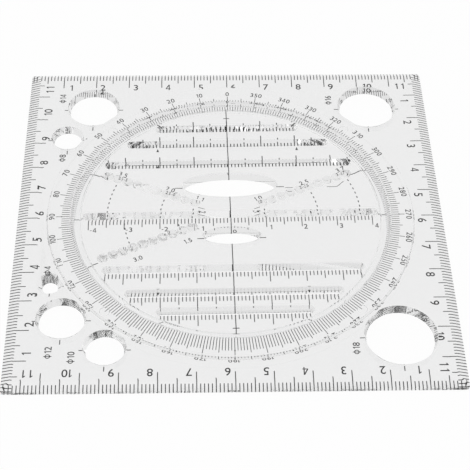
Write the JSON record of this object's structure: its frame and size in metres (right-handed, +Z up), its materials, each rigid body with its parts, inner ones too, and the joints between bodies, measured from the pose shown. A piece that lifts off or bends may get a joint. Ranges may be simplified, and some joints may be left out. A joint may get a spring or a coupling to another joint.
{
  "type": "drawing template ruler",
  "caption": "Square clear plastic drawing template with ruler edges, circle templates and a raised protractor ring in which a slotted template disc turns.",
  "frame": {"origin": "centre of the square frame on the face it lies on, which is also the turning centre of the disc", "axes": "+Z up through the top face, +X along the near edge to the user's right, +Y away from the user"},
  "size_m": [0.12, 0.12, 0.0036],
  "materials": {
    "clear_plastic": "clear injection-moulded plastic, polished faces",
    "printed_ink": "thin dark grey ink printed on the underside"
  },
  "bodies": {
    "frame": {"outer_frame": "clear_plastic"},
    "disc": {"template_disc": "clear_plastic"}
  },
  "joints": [
    {"name": "disc_turn", "type": "hinge", "parent": "frame", "child": "disc", "pos_m": [0, 0, 0], "axis": [0, 0, 1], "continuous": true}
  ]
}
